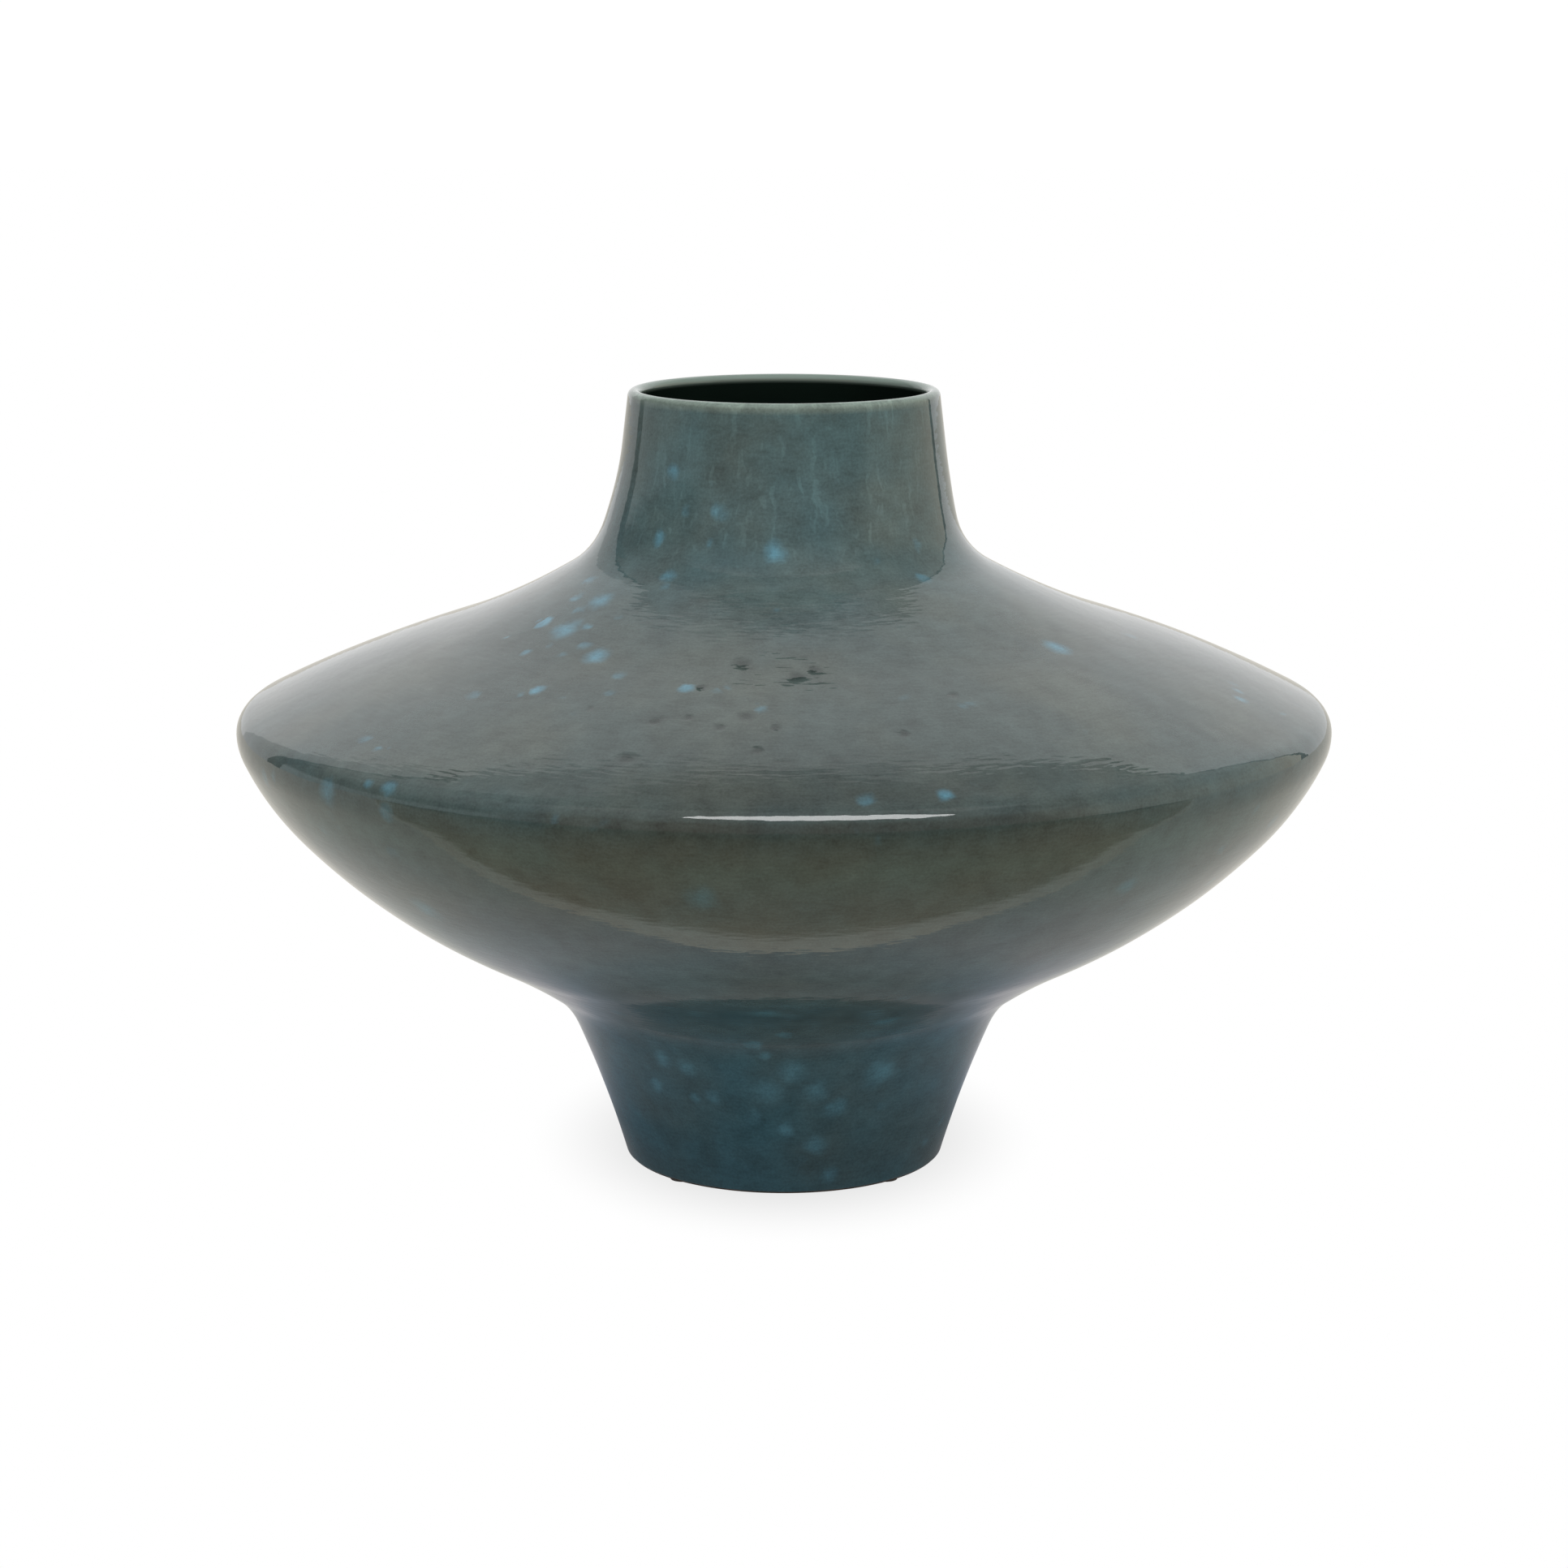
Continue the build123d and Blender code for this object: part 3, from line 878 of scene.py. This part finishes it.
@dataclass(frozen=True)
class Softbox:
    """An oblong light, sized and placed in metres, that the glaze doesn't mirror."""

    name: str
    size: tuple[float, float]
    level: float
    location: tuple[float, float, float]
    aim: tuple[float, float, float]

    def hang(self) -> None:
        """Hangs it so that it faces its aim."""
        data = bpy.data.lights.new(self.name, "AREA")
        data.shape = "RECTANGLE"
        data.size, data.size_y = self.size
        data.energy = self.level * math.pi * self.size[0] * self.size[1]
        lamp = show(self.name, data)
        lamp.location = self.location
        lamp.rotation_euler = (Vector(self.aim) - Vector(self.location)).to_track_quat("-Z", "Y").to_euler()
        lamp.visible_camera = False
        lamp.visible_glossy = False


@dataclass
class Studio:
    """A bright room: a pale floor, a tall white panel far behind, dim walls, and soft lights.

    The glaze mirrors all of it but the softboxes, and the camera sees plain white. A level of 1 is a white
    wall in full light. A height in the room is an angle above the horizon in degrees, and the panel's corners
    are shares of its distance.
    """

    panel_distance: float = 5.4
    panel_level: float = 1.0
    panel: tuple[tuple[float, float], ...] = (
        (-0.58, 0.0), (1.0, 0.0), (1.11, 0.70), (0.58, 1.20), (0.40, 1.66), (0.0, 1.88), (-0.40, 1.66),
        (-0.58, 1.20),
    )
    wing_level: float = 0.72
    wing: tuple[tuple[float, float], ...] = ((-1.19, 0.0), (-0.58, 0.0), (-0.58, 1.20), (-1.11, 0.70))
    gap_level: float = 0.17
    left_gap: tuple[tuple[float, float], ...] = (
        (-1.54, 0.0), (-1.19, 0.0), (-1.11, 0.70), (-0.58, 1.20), (-0.61, 1.27), (-1.15, 0.80), (-1.42, 1.02),
    )
    right_gap: tuple[tuple[float, float], ...] = (
        (1.0, 0.0), (1.16, 0.0), (1.10, 0.25), (1.16, 0.73), (0.61, 1.26), (0.58, 1.20), (1.11, 0.70),
    )
    room_left: tuple[tuple[float, str], ...] = (
        (0, "#d3dcdc"), (8, "#d3dcdc"), (13, "#84827f"), (24, "#84827f"), (36, "#b5b4b2"), (45, "#bcbcbc"),
        (55, "#cbcbcb"), (62, "#e9e9e9"),
    )
    room_right: tuple[tuple[float, str], ...] = (
        (0, "#f6efdf"), (18, "#f6efdf"), (30, "#d6d1c6"), (36, "#cbcac6"), (46, "#aeadab"),
        (56, "#aeadab"), (62, "#f4f4f4"),
    )
    room_front: tuple[tuple[float, str], ...] = ((0, "#ae9081"), (30, "#ae9081"), (40, "#cbc8c4"), (62, "#d8d8da"))
    front_turns: tuple[float, float] = (112.0, 128.0)
    backdrop_level: float = 1.02
    ceiling_level: float = 0.42
    ceiling: tuple[tuple[float, float], ...] = ((-6.0, -0.4), (5.0, -0.4), (5.0, 4.1), (-6.0, 4.1))
    ceiling_height: float = 8.0
    # The floor as the glaze mirrors it near the vase, by distance in mm: the vase's shadow, painted dark near the
    # foot and pale further out.
    floor_painted_shadow: tuple[tuple[float, str], ...] = (
        (60, "#7a7878"), (90, "#6f757b"), (115, "#9197a0"), (145, "#bcbbbf"), (180, "#c6c5c5"), (230, "#d2d1cb"),
        (300, "#dedbd4"), (420, "#e3dfd6"),
    )
    floor_reach: float = 9.0
    floor_wide: float = 1.15
    floor_edge: float = 0.125
    # The brown floor past the edge as the glaze mirrors it, by distance past the edge in mm: a painted lit band
    # along the edge, then painted shade darkening it.
    floor_front: tuple[tuple[float, str], ...] = (
        (0, "#f1e9da"), (14, "#f1e9da"), (24, "#c0ac93"), (125, "#c0ac93"), (375, "#957b58"), (700, "#7c6c50"),
    )
    shade_level: float = 0.74
    shade_middle: float = 0.02
    shade_reach: tuple[float, float] = (0.1, 0.135)
    shade_start: float = 0.35
    softboxes: tuple[Softbox, ...] = (
        Softbox("overhead_softbox", (2.0, 2.0), 1.2, (0.0, 0.0, 2.2), (0.0, 0.0, 0.0)),
        Softbox("front_fill", (1.5, 1.5), 1.6, (0.0, -2.5, 0.5), (0.0, 0.0, 0.15)),
        Softbox("key_softbox", (1.0, 0.57), 9.5, (0.13, -0.958, 1.42), (0.0, -0.2, 0.175)),
    )
    strip_middle: tuple[float, float, float] = (0.03, -0.278, 0.3)
    strip_reach: tuple[float, float] = (0.105, 0.042)
    strip_tilt: float = 19.0
    strip_level: float = 10.0

    def glow(self, name: str, level: float, one_sided: bool = False) -> bpy.types.Material:
        """Makes a material that gives off an even light, and only forwards if it is one-sided."""
        made, add = start_material(name)
        light = add("Emission", {"Color": (1.0, 1.0, 1.0, 1.0), "Strength": level})
        if one_sided:
            behind = add("NewGeometry").outputs["Backfacing"]
            clear = add("BsdfTransparent").outputs[0]
            light = add("MixShader", {0: behind, 1: light.outputs[0], 2: clear})
        add("OutputMaterial", {"Surface": light.outputs[0]})
        return made

    def card(
        self, name: str, corners: Sequence[Sequence[float]], material: bpy.types.Material, seen: Seen = Seen.ALL
    ) -> None:
        """Hangs a flat card in the studio that the camera doesn't see.

        Args:
            name: The card's name.
            corners: Its corners in metres.
            material: Its finish.
            seen: Which rays see it.
        """
        card = flat_sheet(name, corners, material)
        card.visible_camera = False
        card.visible_diffuse = seen is Seen.ALL

    def far_card(self, name: str, outline: Sequence[tuple[float, float]], level: float) -> None:
        """Hangs a glowing card at the panel's distance, from its corners as shares of that distance."""
        far = self.panel_distance
        self.card(name, [(x * far, far, z * far) for x, z in outline], self.glow(name, level))

    def floor(self) -> None:
        """Lays the floor, which only glows: white with a painted soft shade to the camera, and to the glaze with
        painted light and shade.
        """
        made, add = start_material("glowing_floor_with_painted_shade")
        x, y, _ = add("SeparateXYZ", {0: add("TexCoord").outputs["Object"]}).outputs
        # The painted shadow of the vase on the floor near it, out to where the floor is painted fully lit, which is
        # nearer at its sides.
        sideways = add("Math", {0: x, 1: self.floor_wide}, operation="MULTIPLY").outputs[0]
        flat = add("CombineXYZ", {"X": sideways, "Y": y}).outputs[0]
        away = add("VectorMath", {0: flat}, operation="LENGTH").outputs["Value"]
        reach = self.floor_painted_shadow[-1][0]
        share = add("Math", {0: away, 1: reach * MM}, operation="DIVIDE").outputs[0]
        near = add("ValToRGB", {0: share}, [(r / reach, colour) for r, colour in self.floor_painted_shadow])
        # In front of the vase the pale sheet ends in a straight edge, and the floor past it is brown, with a
        # painted lit band along the edge and painted shade that darkens it further away.
        past = add("Math", {0: -self.floor_edge, 1: y}, operation="SUBTRACT").outputs[0]
        reach = self.floor_front[-1][0]
        share = add("Math", {0: past, 1: reach * MM}, operation="DIVIDE").outputs[0]
        front = add("ValToRGB", {0: share}, [(r / reach, colour) for r, colour in self.floor_front])
        brown = add("Math", {0: past, 1: 0.0}, operation="GREATER_THAN").outputs[0]
        lit = {0: brown, 6: near.outputs[0], 7: front.outputs[0]}
        colour = add("Mix", lit, data_type="RGBA").outputs[2]
        # To the glaze the floor is a glow that carries this painted light and shade.
        mirrored = add("Emission", {"Color": colour, "Strength": 1.0}).outputs[0]
        # The soft shade that the camera sees: an oval, longest from front to back, behind the middle.
        wide, deep = self.shade_reach
        forward = add("Math", {0: y, 1: self.shade_middle}, operation="SUBTRACT").outputs[0]
        across = add("Math", {0: x, 1: wide}, operation="DIVIDE").outputs[0]
        along = add("Math", {0: forward, 1: deep}, operation="DIVIDE").outputs[0]
        oval = add("CombineXYZ", {"X": across, "Y": along}).outputs[0]
        out = add("VectorMath", {0: oval}, operation="LENGTH").outputs["Value"]
        fade = {
            "Value": out, "From Min": self.shade_start, "From Max": 1.0, "To Min": self.shade_level, "To Max": 1.0
        }
        level = add("MapRange", fade, interpolation_type="SMOOTHSTEP").outputs["Result"]
        white = add("Emission", {"Strength": level}).outputs[0]
        camera_ray = add("LightPath").outputs["Is Camera Ray"]
        both = add("MixShader", {0: camera_ray, 1: mirrored, 2: white})
        add("OutputMaterial", {"Surface": both.outputs[0]})
        far = self.floor_reach
        flat_sheet("floor", [(-far, -far, 0), (far, -far, 0), (far, far, 0), (-far, far, 0)], made)

    def surroundings(self) -> None:
        """Paints the walls and ceiling by height: white to the camera, and as they are to the glaze."""
        world = bpy.data.worlds.new("room")
        bpy.context.scene.world = world
        world.use_nodes = True
        world.node_tree.nodes.clear()
        add = partial(add_node, world.node_tree)
        x, y, z = add("SeparateXYZ", {0: add("TexCoord").outputs["Generated"]}).outputs
        height = add("Math", {0: z}, operation="ARCSINE").outputs[0]
        share = add("Math", {0: height, 1: math.pi / 2}, operation="DIVIDE").outputs[0]
        left, right, front = (
            add("ValToRGB", {0: share}, [(degrees / 90, colour) for degrees, colour in wall]).outputs[0]
            for wall in (self.room_left, self.room_right, self.room_front)
        )
        turn = add("Math", {0: x, 1: y}, operation="ARCTAN2").outputs[0]
        # The turn is 0 at the back, where left and right meet behind the panel, and half a turn at the front.
        from_back = add("Math", {0: turn}, operation="ABSOLUTE").outputs[0]
        on_right = add("Math", {0: turn, 1: 0.0}, operation="GREATER_THAN").outputs[0]
        colour = add("Mix", {0: on_right, 6: left, 7: right}, data_type="RGBA").outputs[2]
        start, end = map(math.radians, self.front_turns)
        limits = {"Value": from_back, "From Min": start, "From Max": end}
        in_front = add("MapRange", limits, interpolation_type="SMOOTHSTEP").outputs["Result"]
        colour = add("Mix", {0: in_front, 6: colour, 7: front}, data_type="RGBA").outputs[2]
        room = add("Background", {"Color": colour, "Strength": 1.0}).outputs[0]
        white = add("Background", {"Color": (1.0, 1.0, 1.0, 1.0), "Strength": self.backdrop_level}).outputs[0]
        seen = add("LightPath").outputs["Is Camera Ray"]
        both = add("MixShader", {0: seen, 1: room, 2: white})
        add("OutputWorld", {"Surface": both.outputs[0]})

    def strip(self) -> None:
        """Hangs the small oval reflector, lit underneath, that makes the highlight along the brow."""
        middle = Vector(self.strip_middle)
        wide, deep = self.strip_reach
        tilt = math.radians(self.strip_tilt)
        along = Vector((0.0, math.cos(tilt), -math.sin(tilt)))
        turns = np.linspace(2 * math.pi, 0.0, 32, endpoint=False)
        corners = [middle + Vector((wide * math.cos(t), 0.0, 0.0)) + along * deep * math.sin(t) for t in turns]
        self.card(
            "brow_reflector", corners, self.glow("lit_reflector", self.strip_level, one_sided=True), Seen.GLOSS
        )

    def build(self) -> None:
        """Sets up the whole studio."""
        self.floor()
        self.surroundings()
        self.far_card("lit_white_panel", self.panel, self.panel_level)
        self.far_card("dim_panel_wing", self.wing, self.wing_level)
        self.far_card("left_gap", self.left_gap, self.gap_level)
        self.far_card("right_gap", self.right_gap, self.gap_level)
        corners = [(x, y, self.ceiling_height) for x, y in self.ceiling]
        self.card("dim_ceiling", corners, self.glow("dim_ceiling", self.ceiling_level), Seen.GLOSS)
        for softbox in self.softboxes:
            softbox.hang()
        self.strip()


def main() -> None:
    """Builds the vase piece by piece, and then the studio."""
    logging.basicConfig(level=logging.INFO, format="%(name)s: %(message)s")
    _, glaze_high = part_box("outer_glaze")
    belly_low, belly_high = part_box("lower_shell")
    outline = Outline(
        widest_radius=glaze_high.x / MM,
        widest_z=belly_high.z / MM,
        height=glaze_high.z / MM,
        ring_z=belly_low.z / MM,
    )
    settling = Settling()
    clay = BareStoneware().material()
    shells = ClayShells(outline, settling)
    shells.lower(clay)
    shells.upper(clay)
    liner = LinerGlaze().material()
    coats = GlazeCoats(outline, settling)
    coats.outer(MottledGlaze().material())
    coats.liner(liner)
    coats.recess(liner)
    FeltFeet().build(WoolFelt().material())
    Viewpoint().place()
    Studio().build()
    bpy.context.scene.view_settings.view_transform = "Standard"


if __name__ == "__main__":
    main()
